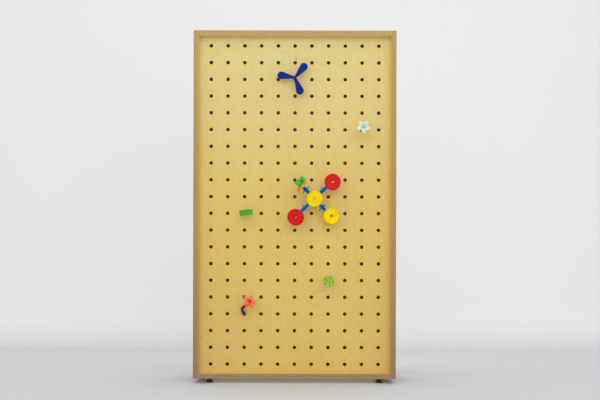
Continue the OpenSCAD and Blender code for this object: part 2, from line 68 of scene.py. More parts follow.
MM = 0.001
X, Y, Z = 0, 1, 2
NODES = frame["nodes"]
WELD = 2e-6                     # points nearer than this are one point
TIP = 3e-7                      # radius of a ring that welds into one point on its axis
MOUNTS = {mount["name"]: mount for mount in frame["record"]["mounts"]}
PITCH = MOUNTS["peg_grid_square"]["dims"]["spacing_x_mm"] * MM
panel_low, panel_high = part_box("peg_panel")
case_low, case_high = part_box("back_panel")
front_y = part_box("side_left")[0].y


# ------------------------------------------------------------------ colours and nodes

def srgb(red, green, blue):
    """Linear RGBA of an sRGB colour given as 0 to 255."""
    def linear(value):
        value /= 255
        return value / 12.92 if value <= 0.04045 else ((value + 0.055) / 1.055) ** 2.4
    return (linear(red), linear(green), linear(blue), 1.0)


def shaded(colour, factor):
    return tuple(min(1.0, channel * factor) for channel in colour[:3]) + (1.0,)


def add(tree, kind, inputs=None, **settings):
    """New node. Inputs are values or sockets by name or number; settings are attributes."""
    node = tree.nodes.new("ShaderNode" + kind)
    for key, value in settings.items():
        setattr(node, key, value)
    for key, value in (inputs or {}).items():
        if isinstance(value, bpy.types.NodeSocket):
            tree.links.new(value, node.inputs[key])
        else:
            node.inputs[key].default_value = value
    return node


def math_node(tree, operation, a, b=0.0, clamp=False):
    return add(tree, "Math", {0: a, 1: b}, operation=operation, use_clamp=clamp).outputs[0]


def mix(tree, factor, a, b, blend="MIX"):
    """Colour between a and b."""
    node = add(tree, "Mix", {0: factor, 6: a, 7: b}, data_type="RGBA", blend_type=blend)
    return node.outputs[2]


def spread(tree, value, low, high, to_low=0.0, to_high=1.0):
    """Value mapped from low..high to to_low..to_high, held at the ends."""
    return add(tree, "MapRange", {0: value, 1: low, 2: high, 3: to_low, 4: to_high}).outputs[0]


def scaled(tree, vector, scale, offset=(0, 0, 0)):
    return add(tree, "Mapping", {0: vector, 1: offset, 3: scale}).outputs[0]


def noise(tree, vector, scale, detail=2.0, roughness=0.5, distortion=0.0):
    inputs = {"Vector": vector, "Scale": scale, "Detail": detail,
              "Roughness": roughness, "Distortion": distortion}
    return add(tree, "TexNoise", inputs).outputs[0]


def new_material(name):
    """Empty node material: (material, tree, its Principled shader, object coordinates)."""
    material = bpy.data.materials.new(name)
    material.use_nodes = True
    tree = material.node_tree
    coords = add(tree, "TexCoord")
    return material, tree, tree.nodes["Principled BSDF"], coords


def plug(tree, shader, **inputs):
    """Sets a Principled shader's inputs; an underscore stands for a space."""
    for key, value in inputs.items():
        socket = shader.inputs[key.replace("_", " ")]
        if isinstance(value, bpy.types.NodeSocket):
            tree.links.new(value, socket)
        else:
            socket.default_value = value


def bump(tree, height, distance):
    inputs = {"Height": height, "Distance": distance, "Strength": 1.0}
    return add(tree, "Bump", inputs).outputs[0]


def worn_edges(tree, radius):
    """1 at convex and concave edges within the radius, 0 on open faces."""
    threshold = 0.06
    rounded = add(tree, "Bevel", {"Radius": radius}, samples=4).outputs[0]
    normal = add(tree, "NewGeometry").outputs["Normal"]
    likeness = add(tree, "VectorMath", {0: rounded, 1: normal}, operation="DOT_PRODUCT")
    return spread(tree, likeness.outputs["Value"], 1 - threshold, 1.0, 1.0, 0.0)


# ------------------------------------------------------------------ materials

def wood(name, light, dark, thick, grain, ply=None, seed=0.0, rough=0.5, knot=None,
         end_light=None, end_dark=None, figure=0.55, painted_light_fade=None, stain=0.55):
    """Wood with its grain along one axis. With a ply thickness it is laminated: the faces across
    the thick axis are veneer, and the others show the plies. The painted light fade is (low z,
    high z, colours at the bottom, the middle and the top) of a tint up a tall board that paints
    light and shade into it; stain is the strength of the mauve streaks in the plies."""
    material, tree, shader, coords = new_material(name)
    position = add(tree, "SeparateXYZ", {0: coords.outputs["Object"]}).outputs
    facing = add(tree, "SeparateXYZ", {0: coords.outputs["Normal"]}).outputs
    across = 3 - thick - grain
    flow = add(tree, "CombineXYZ", {0: position[across], 1: position[grain],
                                    2: position[thick]}).outputs[0]
    # contour lines of a stretched noise make the flame figure of rotary-cut veneer
    swell = noise(tree, scaled(tree, flow, (6.5, 1.5, 2.0), (seed, 0.4 * seed, seed)), 1.0,
                  detail=2.0, roughness=0.4, distortion=0.3)
    rings = math_node(tree, "SINE", math_node(tree, "MULTIPLY", swell, 140.0))
    lines = spread(tree, rings, 0.45, 1.0)
    rings = spread(tree, rings, -1.0, 1.0)
    broad = noise(tree, scaled(tree, flow, (3.0, 0.9, 3.0), (seed + 3, seed, 0)), 1.0, detail=3.0)
    fibre = noise(tree, scaled(tree, flow, (620, 14, 620)), 1.0, detail=3.0, roughness=0.65)
    fleck = noise(tree, scaled(tree, flow, (260, 38, 260)), 1.0, detail=1.0)
    tone = math_node(tree, "ADD", spread(tree, broad, 0.3, 0.7, 0.25, 0.75),
                     math_node(tree, "MULTIPLY", rings, -0.08 * figure))
    tone = math_node(tree, "ADD", tone, spread(tree, fibre, 0.3, 0.7, -0.03, 0.13), clamp=True)
    face = mix(tree, tone, dark, light)
    lines = math_node(tree, "MULTIPLY", lines, spread(tree, broad, 0.4, 0.62, 0.35, 1.0))
    face = mix(tree, math_node(tree, "MULTIPLY", lines, 0.6 * figure), face,
               tuple(a * b for a, b in zip(light, (0.93, 0.77, 0.45, 1.0))))
    specks = spread(tree, fleck, 0.68, 0.78, 0.0, 0.12)
    face = mix(tree, specks, face, shaded(dark, 0.62))
    if knot:
        # pin knot: a short dark streak with a faint halo, at a place on the face
        place, half_width, half_length = knot
        a = math_node(tree, "DIVIDE", math_node(tree, "SUBTRACT", position[across], place[0]),
                      half_width)
        b = math_node(tree, "DIVIDE", math_node(tree, "SUBTRACT", position[grain], place[1]),
                      half_length)
        far = math_node(tree, "SQRT", math_node(tree, "ADD", math_node(tree, "MULTIPLY", a, a),
                                                math_node(tree, "MULTIPLY", b, b)))
        face = mix(tree, spread(tree, far, 1.0, 5.0, 0.3, 0.0), face, shaded(dark, 0.7))
        face = mix(tree, spread(tree, far, 0.5, 1.3, 0.8, 0.0), face, srgb(140, 96, 38))
    uneven = spread(tree, broad, 0.3, 0.7, rough - 0.05, rough + 0.07)
    end_light = end_light or shaded(light, 0.8)
    end_dark = end_dark or shaded(dark, 0.5)
    if ply:
        layer = math_node(tree, "FLOOR", math_node(tree, "DIVIDE", position[thick], ply))
        odd = math_node(tree, "PINGPONG", layer, 1.0)
        own = add(tree, "TexWhiteNoise", {"W": math_node(tree, "ADD", layer, seed)},
                  noise_dimensions="1D").outputs["Value"]
        run = add(tree, "CombineXYZ", {0: position[across], 1: position[grain],
                                       2: layer}).outputs[0]
        streak = noise(tree, scaled(tree, run, (16, 16, 7.3), (seed, 0, 0)), 1.0, detail=4.0,
                       roughness=0.6)
        grit = noise(tree, coords.outputs["Object"], 2600.0, detail=2.0)
        share = math_node(tree, "MULTIPLY", odd, 0.62)
        share = math_node(tree, "ADD", share, spread(tree, own, 0.0, 1.0, -0.14, 0.2))
        share = math_node(tree, "ADD", share, spread(tree, grit, 0.3, 0.7, -0.14, 0.14),
                          clamp=True)
        cut = mix(tree, share, end_light, end_dark)
        cut = mix(tree, spread(tree, streak, 0.56, 0.72, 0.0, stain), cut, srgb(138, 92, 76))
        inside = math_node(tree, "FRACT", math_node(tree, "DIVIDE", position[thick], ply))
        glue = spread(tree, inside, 0.0, 0.1, 0.55, 0.0)
        cut = mix(tree, glue, cut, shaded(end_dark, 0.55))
        open_face = spread(tree, math_node(tree, "ABSOLUTE", facing[thick]), 0.6, 0.8)
        grooves = math_node(tree, "SUBTRACT", grit, glue)
    else:
        end_rings = noise(tree, scaled(tree, flow, (90, 90, 320), (seed, 0, 0)), 1.0, detail=2.0)
        cut = mix(tree, spread(tree, end_rings, 0.35, 0.65), end_light, end_dark)
        open_face = spread(tree, math_node(tree, "ABSOLUTE", facing[grain]), 0.6, 0.8, 1.0, 0.0)
        grooves = end_rings
    # painted light and shade: the colour is multiplied by a tint that runs up the board, darker at
    # the bottom as painted shade and paler at the top as painted light
    if painted_light_fade:
        low, high, painted_light_tints = painted_light_fade
        level = spread(tree, position[Z], low, high)
        painted_light_tint = mix(tree, spread(tree, level, 0.0, 0.5), painted_light_tints[0], painted_light_tints[1])
        painted_light_tint = mix(tree, spread(tree, level, 0.5, 1.0), painted_light_tint, painted_light_tints[2])
        face = mix(tree, 1.0, face, painted_light_tint, "MULTIPLY")
        cut = mix(tree, 1.0, cut, painted_light_tint, "MULTIPLY")
    colour = mix(tree, open_face, cut, face)
    rubbed = math_node(tree, "MULTIPLY", worn_edges(tree, 0.9 * MM),
                       spread(tree, fleck, 0.35, 0.65, 0.15, 0.6))
    colour = mix(tree, rubbed, colour, shaded(light, 0.9))
    height = add(tree, "Mix", {0: open_face, 2: grooves, 3: fibre}, data_type="FLOAT").outputs[0]
    uneven = add(tree, "Mix", {0: open_face, 2: rough + 0.22, 3: uneven},
                 data_type="FLOAT").outputs[0]
    plug(tree, shader, Base_Color=colour, Roughness=uneven,
         Normal=bump(tree, height, 0.06 * MM), Specular_IOR_Level=0.35, Coat_Weight=0.06,
         Coat_Roughness=0.35)
    return material


def plastic(name, colour, rough=0.34, depth=0.0, clear=0.0, speckle=0.05, painted_midline_light=None, painted_eye_shade=None,
            gloss=0.25, wear=0.4, slot_shade_band=None):
    """Moulded plastic with uneven tone, fine peel, soft scuffs and rubbed edges. Depth is its
    subsurface share and clear its transmission. The midline colour is painted light along a
    petal's middle line and the eye colour is painted shade near a flower's centre, by the mesh's
    own midline and eye values. The slab is (centre, side, half width, colour) of painted shade in
    another colour that crosses the plastic where it runs inside a slot."""
    material, tree, shader, coords = new_material(name)
    place = coords.outputs["Object"]
    cloud = noise(tree, place, 70.0, detail=3.0, roughness=0.6)
    grit = noise(tree, place, 3400.0, detail=2.0)
    scuff = noise(tree, scaled(tree, place, (2400, 180, 700), (0.2, 0.1, 0.3)), 1.0, detail=3.0)
    tone = mix(tree, spread(tree, cloud, 0.3, 0.7), shaded(colour, 0.86), shaded(colour, 1.1))
    tone = mix(tree, spread(tree, grit, 0.55, 0.75, 0.0, speckle), tone, shaded(colour, 0.55))
    # painted light along a petal's middle line, by the mesh's midline value
    if painted_midline_light:
        amount = add(tree, "Attribute", attribute_name="painted_midline_light").outputs["Fac"]
        tone = mix(tree, math_node(tree, "MULTIPLY", amount, spread(tree, cloud, 0.3, 0.7, 0.6, 1)),
                   tone, painted_midline_light)
    # painted shade near a flower's eye, by the mesh's eye value
    if painted_eye_shade:
        amount = add(tree, "Attribute", attribute_name="painted_eye_shade").outputs["Fac"]
        tone = mix(tree, amount, tone, painted_eye_shade)
    rub = math_node(tree, "MULTIPLY", worn_edges(tree, 0.35 * MM),
                    spread(tree, cloud, 0.35, 0.6, 0.2 * wear, wear))
    tone = mix(tree, rub, tone, mix(tree, 0.12, shaded(colour, 1.25), srgb(235, 235, 235)))
    # painted shade: a slab across the plastic in a darker colour, where the plastic runs inside a
    # slot
    if slot_shade_band:
        centre, side, half_width, inner = slot_shade_band
        offset = add(tree, "VectorMath", {0: place, 1: centre}, operation="SUBTRACT").outputs[0]
        away = add(tree, "VectorMath", {0: offset, 1: side}, operation="DOT_PRODUCT")
        away = math_node(tree, "ABSOLUTE", away.outputs["Value"])
        tone = mix(tree, spread(tree, away, 0.9 * half_width, half_width, 1.0, 0.0), tone, inner)
    uneven = spread(tree, cloud, 0.3, 0.7, rough - 0.06, rough + 0.09)
    uneven = math_node(tree, "ADD", uneven, spread(tree, scuff, 0.6, 0.75, 0.0, 0.16), clamp=True)
    height = math_node(tree, "ADD", grit, math_node(tree, "MULTIPLY", scuff, 0.6))
    plug(tree, shader, Base_Color=tone, Roughness=uneven,
         Normal=bump(tree, height, 0.012 * MM), Specular_IOR_Level=gloss,
         Subsurface_Weight=depth, Subsurface_Scale=2.5 * MM, Transmission_Weight=clear)
    return material


def zinc(name):
    """Zinc-plated steel: bluish grey with spangle, fine turning marks and dull patches."""
    material, tree, shader, coords = new_material(name)
    place = coords.outputs["Object"]
    spangle = add(tree, "TexVoronoi", {"Vector": place, "Scale": 900.0}).outputs["Distance"]
    cloud = noise(tree, place, 160.0, detail=3.0)
    tone = mix(tree, spread(tree, spangle, 0.0, 0.8), srgb(176, 180, 186), srgb(206, 208, 210))
    tone = mix(tree, spread(tree, cloud, 0.5, 0.75, 0.0, 0.5), tone, srgb(150, 148, 140))
    plug(tree, shader, Base_Color=tone, Metallic=1.0,
         Roughness=spread(tree, cloud, 0.3, 0.7, 0.26, 0.46),
         Normal=bump(tree, spangle, 0.01 * MM))
    return material


def rubber(name):
    """Black moulded rubber with a grey bloom, painted paler low down as a painted highlight where
    the pale floor reflects in it.
    """
    material, tree, shader, coords = new_material(name)
    place = coords.outputs["Object"]
    cloud = noise(tree, place, 220.0, detail=4.0, roughness=0.65)
    grain = noise(tree, place, 5200.0, detail=1.0)
    # painted highlight: the lowest 4 mm of the pad are painted paler, as the pale floor's
    # reflection in the rubber
    low = spread(tree, add(tree, "SeparateXYZ", {0: place}).outputs[Z], 0.0, 4 * MM, 0.35, 0.0)
    tone = mix(tree, spread(tree, cloud, 0.35, 0.7, 0.0, 0.5), srgb(28, 27, 27), srgb(66, 63, 61))
    tone = mix(tree, low, tone, srgb(108, 102, 96))
    plug(tree, shader, Base_Color=tone, Roughness=spread(tree, cloud, 0.3, 0.7, 0.48, 0.72),
         Normal=bump(tree, grain, 0.03 * MM), Specular_IOR_Level=0.4)
    return material


# ------------------------------------------------------------------ meshes

class Shape:
    """Vertices and faces of one piece, gathered from simple surfaces."""

    def __init__(self):
        self.points, self.faces, self.values = [], [], []

    def grid(self, rows, closed=False, capped=(False, False), values=None):
        """Joins rows of points with quads. A closed row runs round; a cap fills an end row."""
        first, count = len(self.points), len(rows[0])
        for index, row in enumerate(rows):
            self.points += row
            self.values += values[index] if values else [(0.0, 0.0)] * count
        for i in range(len(rows) - 1):
            for j in range(count if closed else count - 1):
                a, b = first + i * count + j, first + i * count + (j + 1) % count
                self.faces.append((a, b, b + count, a + count))
        if capped[0]:
            self.faces.append(tuple(reversed(range(first, first + count))))
        if capped[1]:
            last = first + (len(rows) - 1) * count
            self.faces.append(tuple(range(last, last + count)))

    def lathe(self, profile, steps=48):
        """Turns (radius, height) points about z. A radius of 0 closes an end, a profile that
        comes back to its first point needs no closing, and any other end gets a cap."""
        whole = profile[0] == profile[-1]
        ends = (profile[0][0] > 0 and not whole, profile[-1][0] > 0 and not whole)
        ring = [2 * math.pi * k / steps for k in range(steps)]
        solid = [(max(radius, TIP), height) for radius, height in profile]
        rows = [[Vector((r * math.cos(a), r * math.sin(a), z)) for a in ring]
                for r, z in solid]
        self.grid(rows, closed=True, capped=ends)

    def piece(self, name, matrix, material, sharp=40.0):
        """The finished object, with doubles welded and edges sharper than the angle kept."""
        mesh = bpy.data.meshes.new(name)
        mesh.from_pydata([matrix @ point for point in self.points], [], self.faces)
        # the mesh's values for the petals' painted light along the middle line and painted shade
        # near the eye
        for key, index in (("painted_midline_light", 0), ("painted_eye_shade", 1)):
            if any(value[index] for value in self.values):
                layer = mesh.attributes.new(key, "FLOAT", "POINT")
                layer.data.foreach_set("value", [value[index] for value in self.values])
        work = bmesh.new()
        work.from_mesh(mesh)
        bmesh.ops.remove_doubles(work, verts=work.verts, dist=WELD)
        bmesh.ops.recalc_face_normals(work, faces=work.faces)
        work.to_mesh(mesh)
        work.free()
        mesh.shade_smooth()
        mesh.set_sharp_from_angle(angle=math.radians(sharp))
        mesh.materials.append(material)
        result = bpy.data.objects.new(name, mesh)
        bpy.context.scene.collection.objects.link(result)
        return result


def rounded(profile, radius, steps=3):
    """Profile with each inner corner replaced by a small arc-like run of points."""
    result = [profile[0]]
    for before, corner, after in zip(profile, profile[1:], profile[2:]):
        corner_v, ends = Vector(corner), []
        for other in (before, after):
            side = Vector(other) - corner_v
            ends.append(corner_v + side * min(0.45, radius / max(side.length, 1e-9)))
        for k in range(steps + 1):
            t = k / steps
            result.append(tuple(ends[0] * (1 - t) ** 2 + corner_v * 2 * t * (1 - t)
                                + ends[1] * t ** 2))
    return result + [profile[-1]]


def at_hole(column, row):
    """Matrix of a peg hole: origin on the panel's front, z out of the board."""
    place = Vector(((column - 5) * PITCH, panel_low.y, panel_high.z - (row + 0.5) * PITCH))
    return Matrix.Translation(place) @ turned(90, "X")


def forward(distance):
    return Matrix.Translation((0, 0, distance))


def turned(angle, axis="Z"):
    return Matrix.Rotation(math.radians(angle), 4, axis)


def finish_piece(piece, body, slot, *nodes):
    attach(piece, body)
    if nodes:
        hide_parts(*nodes)
    return piece


# ------------------------------------------------------------------ carried-over CAD nodes

def soften(node, width, angle=35.0):
    """Small round on a CAD node's edges, by modifiers, so its own mesh stays as imported."""
    weld = node.modifiers.new("weld", "WELD")
    weld.merge_threshold = WELD
    flat = node.modifiers.new("flat", "DECIMATE")
    flat.decimate_type = "DISSOLVE"
    flat.angle_limit = math.radians(0.6)
    bevel = node.modifiers.new("round", "BEVEL")
    bevel.width = width
    bevel.segments = 2
    bevel.limit_method = "ANGLE"
    bevel.angle_limit = math.radians(angle)
    bevel.use_clamp_overlap = True
    shade = node.modifiers.new("shade", "WEIGHTED_NORMAL")
    shade.keep_sharp = True


def dress(names, material, width=0.0, angle=35.0):
    """Gives CAD nodes a material and softened edges."""
    for name in names:
        node = NODES[name]
        node.data.materials.clear()
        node.data.materials.append(material)
        if width:
            soften(node, width, angle)


veneer_light, veneer_dark = srgb(238, 214, 132), srgb(220, 184, 98)
panel_light, panel_dark = srgb(226, 214, 146), srgb(207, 184, 110)
# painted light and shade up the tall boards, tints from bottom to middle to top: the lower tints
# darken as painted shade and the top ones are paler as painted light; the panel's middle tint also
# gives it its own golden hue
panel_painted_light_tints = ((0.94, 0.78, 0.52, 1), (1.0, 0.86, 0.52, 1), (0.98, 0.97, 0.99, 1))
side_painted_light_tints = ((0.74, 0.68, 0.92, 1), (0.96, 0.93, 0.89, 1), (1.08, 1.15, 1.12, 1))
side_painted_light_fade = (case_low.z, case_high.z, side_painted_light_tints)
side_look = dict(end_light=srgb(187, 154, 97), end_dark=srgb(145, 108, 63))
# ply edge colours: the top board's are a little paler as painted light from above, and the bottom
# board's are darker as painted shade near the floor; the bottom's stronger mauve streaks are stains
top_look_painted_light = dict(end_light=srgb(195, 166, 107), end_dark=srgb(151, 118, 70))
bottom_look_painted_shade = dict(end_light=srgb(169, 138, 101), end_dark=srgb(124, 96, 66), stain=0.7)

case_ply = 1.36 * MM
knot_place = (0.0034, panel_high.z - 0.0645)

dress(["side_left"], wood("side_left_birch", veneer_light, veneer_dark, X, Z, case_ply,
                          seed=1.7, painted_light_fade=side_painted_light_fade, **side_look), 0.5 * MM)
dress(["side_right"], wood("side_right_birch", veneer_light, veneer_dark, X, Z, case_ply,
                           seed=5.2, painted_light_fade=side_painted_light_fade, **side_look), 0.5 * MM)
dress(["top_board"], wood("top_birch", veneer_light, veneer_dark, Z, X, case_ply,
                          seed=8.9, **top_look_painted_light), 0.4 * MM)
dress(["bottom_board"], wood("bottom_birch", veneer_light, veneer_dark, Z, X, case_ply,
                             seed=12.3, **bottom_look_painted_shade), 0.4 * MM)
dress(["peg_panel"], wood("panel_birch", panel_light, panel_dark, Y, Z, 1.33 * MM, seed=3.1,
                          knot=(knot_place, 0.9 * MM, 3.2 * MM), figure=0.8,
                          painted_light_fade=(panel_low.z, panel_high.z, panel_painted_light_tints), **side_look), 0.25 * MM)
dress(["back_panel"], wood("back_birch", srgb(222, 196, 134), srgb(196, 158, 92), Y, Z,
                           1.2 * MM, seed=15.0, rough=0.62, **side_look), 0.4 * MM)
batten_up = wood("batten_pine_upright", srgb(226, 194, 138), srgb(190, 142, 82), Y, Z,
                 seed=21.0, rough=0.66, figure=1.0)
batten_flat = wood("batten_pine_level", srgb(226, 194, 138), srgb(190, 142, 82), Y, X,
                   seed=27.0, rough=0.66, figure=1.0)
dress(["batten_left", "batten_right"], batten_up, 0.6 * MM)
dress(["batten_top", "batten_bottom"], batten_flat, 0.6 * MM)
dress(["corner_dowels"], wood("dowel_beech", srgb(214, 174, 122), srgb(176, 130, 82), Z, X,
                              seed=31.0, rough=0.6), 0.4 * MM)
steel = zinc("zinc_steel")
dress(["panel_screws", "foot_nuts", "foot_front_left_stud", "foot_front_right_stud",
       "foot_back_left_stud", "foot_back_right_stud"], steel, 0.2 * MM)
peg_wood = wood("peg_wood", srgb(222, 158, 82), srgb(190, 116, 50), X, Y, seed=40.0, rough=0.42,
                figure=0.8, end_light=srgb(240, 186, 100), end_dark=srgb(218, 156, 72))
dress(["propeller_peg", "white_flower_peg", "star_peg", "bar_peg", "cross_peg"], peg_wood,
      0.3 * MM)

yellow = plastic("yellow_plastic", srgb(242, 211, 2), rough=0.44, depth=0.06, gloss=0.08,
                 wear=0.2)
red = plastic("red_plastic", srgb(206, 4, 10), rough=0.42, depth=0.03, gloss=0.14, wear=0.25)
blue = plastic("blue_plastic", srgb(0, 118, 198), rough=0.7, gloss=0.02, wear=0.05)
orange = plastic("orange_plastic", srgb(255, 146, 14), rough=0.38, depth=0.08)
green = plastic("green_plastic", srgb(66, 174, 54), rough=0.4, depth=0.05)
dress(["hub_spool", "lr_spool"], yellow, 0.25 * MM)
dress(["ur_spool", "ll_spool"], red, 0.25 * MM)
dress(["ur_connector", "ul_connector", "ll_connector", "lr_connector"], blue, 0.25 * MM)
hub_middle = sum(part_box("hub_spool"), Vector()) / 2
for arm in ("ur", "ul", "ll", "lr"):
    # each fin is pale at the sides of its connector; across it, where the fin runs inside the
    # connector's slot, it is painted a deeper blue as painted shade
    disc_middle = sum(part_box(arm + "_disc"), Vector()) / 2
    side = (disc_middle - hub_middle).cross((0, -1, 0)).normalized()
    dress([arm + "_disc"], plastic(arm + "_pale_blue_plastic", srgb(84, 156, 222), rough=0.3,
                                   clear=0.2, depth=0.1, wear=0.1, gloss=0.12,
                                   slot_shade_band=(disc_middle, side, 6.6 * MM, srgb(0, 102, 182))),
          0.3 * MM)
dress(["orange_disc"], orange, 0.9 * MM)
dress(["green_bar", "green_block"], green, 0.7 * MM)


# ------------------------------------------------------------------ propeller

BORE = 2.05 * MM                # radius of the hole that takes a toy's slim axle
deep_blue = plastic("deep_blue_plastic", srgb(6, 38, 132), rough=0.45, gloss=0.08, wear=0.2)


def teardrop(root_radius, end_radius, distance, steps=20):
    """Outline of a blade: two arcs and the straight sides that touch both."""
    tilt = math.asin((end_radius - root_radius) / distance)
    turn = math.pi / 2 + tilt
    outline = []
    for k in range(steps + 1):
        a = -turn + 2 * turn * k / steps
        outline.append(Vector((distance + end_radius * math.cos(a), end_radius * math.sin(a))))
    for k in range(steps + 1):
        a = turn + (2 * math.pi - 2 * turn) * k / steps
        outline.append(Vector((root_radius * math.cos(a), root_radius * math.sin(a))))
    return outline


def pillow(shape, outline, thickness, edge, at, crown=0.0, steps=4):
    """Flat plate with a round edge of its own radius and a slightly crowned middle."""
    count = len(outline)
    centre = sum(outline, Vector((0, 0))) / count
    normals = []
    for i in range(count):
        run = outline[(i + 1) % count] - outline[i - 1]
        normals.append(Vector((run.y, -run.x)).normalized())
    rows = []
    half = thickness / 2
    turns = [math.pi * k / (2 * steps) for k in range(steps + 1)]
    levels = [(edge * (1 - math.cos(a)), half - edge + edge * math.sin(a)) for a in turns]
    for side in (-1, 1):
        ordered = reversed(levels) if side < 0 else levels
        for inset, height in ordered:
            rows.append([at @ Vector((*(p - n * inset), side * height))
                         for p, n in zip(outline, normals)])
    shape.grid(rows, closed=True)
    for side, row in ((-1, rows[0]), (1, rows[-1])):
        inner = []
        for share in (0.0, 0.45, 0.8):
            inner.append([at @ Vector((*(p - n * edge).lerp(centre, share),
                                       side * (half + crown * math.sin(share * math.pi / 2))))
                          for p, n in zip(outline, normals)])
        shape.grid(inner, closed=True, capped=(False, True))


def propeller():
    low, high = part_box("propeller")
    middle = at_hole(5, 2) @ forward(panel_low.y - (low.y + high.y) / 2)
    blades = Shape()
    root, end, reach = 2.9 * MM, 11.4 * MM, 52.8 * MM
    first_angle, twist = 50.6, 10
    outline = teardrop(root, end, reach - end)
    for k in range(3):
        pillow(blades, outline, 3 * MM, 0.6 * MM,
               turned(first_angle + 120 * k) @ turned(twist, "X"), crown=0.15 * MM)
    hub, half, socket = 4.75 * MM, 4 * MM, 1.5 * MM
    profile = rounded([(BORE, -half), (hub, -half), (hub, half), (2.6 * MM, half),
                       (0, 3.6 * MM)], 0.8 * MM)
    blades.lathe([(0, socket), (BORE, socket)] + profile)
    finish_piece(blades.piece("propeller_rotor", middle, deep_blue), "propeller_head",
                 "deep_blue_plastic", "propeller")


# ------------------------------------------------------------------ flowers

def petal(shape, reach, width, angle, base, lift, curl, dish, thickness, start,
          rows=14, columns=10):
    """One leaf-shaped petal: it rises from its base by lift, curls back at its tip and is dished
    across. Its midline value, for painted light, is highest along the middle line; its eye value,
    for painted shade, is highest near the eye."""
    radius = (reach * reach + width * width) / (4 * width)
    turn = turned(angle)
    sheets, marks = [], []
    for side in (0, 1):
        sheet, sheet_marks = [], []
        for i in range(rows + 1):
            share = i / rows
            x = start + (reach - start) * share
            half = math.sqrt(max(radius ** 2 - (x - reach / 2) ** 2, 0)) - (radius - width / 2)
            half = max(half, 0.3 * MM)
            line, line_marks = [], []
            for j in range(columns + 1):
                # it rises over 0.6 of its length, curls over its outer half and thins sideways
                v = 2 * j / columns - 1
                rise = lift * math.sin(math.pi / 2 * min(share / 0.6, 1.0))
                back = curl * max(share - 0.5, 0) ** 2 / 0.25
                bowl = dish * v * v * math.sin(math.pi * min(share + 0.05, 1.0))
                thin = max(1 - 0.7 * abs(v) ** 3, 0.3)
                z = base + rise - back + bowl - side * thickness * thin
                line.append(turn @ Vector((x, half * v, z)))
                # values for painted light along the middle line and painted shade near the eye
                line_marks.append(((1 - abs(v)) ** 1.6 * math.sin(math.pi * share) ** 0.6,
                                   max(0.0, 1 - 3.2 * share)))
            sheet.append(line)
            sheet_marks.append(line_marks)
        sheets.append(sheet)
        marks.append(sheet_marks)
    front, back = sheets
    shape.grid(front, values=marks[0])
    shape.grid(back, values=marks[1])
    for k in (0, -1):
        shape.grid([[row[k] for row in front], [row[k] for row in back]])
    shape.grid([front[-1], back[-1]])
    shape.grid([front[0], back[0]])


def flower(name, place, body, slot, node, material, reach, width, angle, cup_radius, cup_height,
           lift=1.7 * MM, curl=1.0 * MM, dish=0.7 * MM, bore=BORE):
    """Five petals round a small raised eye, with a tapering cup behind; place has its z = 0 at
    the front of the petals."""
    shape = Shape()
    for k in range(5):
        petal(shape, reach, width, angle + 72 * k, base=-2.4 * MM, lift=lift, curl=curl,
              dish=dish, thickness=1.2 * MM, start=3 * MM)
    cup = [(bore, -0.4 * MM), (3.3 * MM, -0.4 * MM), (3.7 * MM, -1.6 * MM),
           (cup_radius, -2.9 * MM), (0.72 * cup_radius, -cup_height), (bore, -cup_height)]
    shape.lathe(rounded(cup, 0.7 * MM) + [cup[0]])
    piece = shape.piece(name, place, material)
    return finish_piece(piece, body, slot, node)


def button(name, place, shaft, body, slot, node, material):
    """Domed head on a shaft; its seat is at z = 0."""
    shape = Shape()
    axle, rim, seat = 2 * MM, 3 * MM, 0.05 * MM
    profile = [(0, -shaft), (axle, -shaft), (axle, seat), (rim, seat), (rim, 3.5 * MM),
               (2.1 * MM, 4.7 * MM), (0, 5 * MM)]
    shape.lathe(rounded(profile, 0.5 * MM))
    finish_piece(shape.piece(name, place, material), body, slot, node)


def star_backing(place):
    """Smaller five-pointed piece with a boss, behind the green flower."""
    shape = Shape()
    for k in range(5):
        petal(shape, reach=16.5 * MM, width=10 * MM, angle=68 + 72 * k, base=2.6 * MM,
              lift=0.3 * MM, curl=0.4 * MM, dish=0.1 * MM, thickness=2.4 * MM, start=3 * MM)
    front, back = 2.9 * MM, -4 * MM
    boss = [(BORE, front), (5.6 * MM, front), (6 * MM, back), (BORE, back)]
    shape.lathe(rounded(boss, 0.6 * MM) + [boss[0]])
    shape.values = [(0.0, 0.0)] * len(shape.points)
    finish_piece(shape.piece("star_backing", place, sky), "star_head", "sky_blue_plastic",
                 "blue_backing")


# flower colours: each midline colour is painted light, a painted highlight on the coral flower and
# painted shade on the white and lime ones; each eye colour is painted shade
frosted = plastic("frosted_white_plastic", srgb(217, 228, 226), rough=0.4, depth=0.2,
                  painted_midline_light=srgb(188, 208, 208), painted_eye_shade=srgb(156, 192, 186), speckle=0.02)
lime = plastic("lime_plastic", srgb(168, 194, 22), rough=0.3, depth=0.3, clear=0.1,
               painted_midline_light=srgb(150, 196, 30), painted_eye_shade=srgb(128, 176, 40))
coral = plastic("coral_plastic", srgb(252, 92, 54), rough=0.3, depth=0.25,
                painted_midline_light=srgb(250, 140, 112), painted_eye_shade=srgb(238, 58, 24), speckle=0.02)
sky = plastic("sky_blue_plastic", srgb(52, 116, 172), rough=0.32, depth=0.1)
teal = plastic("teal_plastic", srgb(112, 184, 180), rough=0.25, depth=0.2)
crimson = plastic("crimson_plastic", srgb(212, 24, 26), rough=0.25, depth=0.15)
purple = plastic("purple_plastic", srgb(60, 38, 88), rough=0.5)


# ------------------------------------------------------------------ red flower on a bent stem

STEM_OUT = 6 * MM
BEND_1 = (11 * MM, 75, 115)     # radius, turn, direction
BEND_2 = (14 * MM, 66, -22)
STEM_END = 29 * MM
STEM_RADIUS = 4.35 * MM
PEG_IN = 28 * MM
RED_CUP = 26 * MM
RED_STEM_IN = 9 * MM


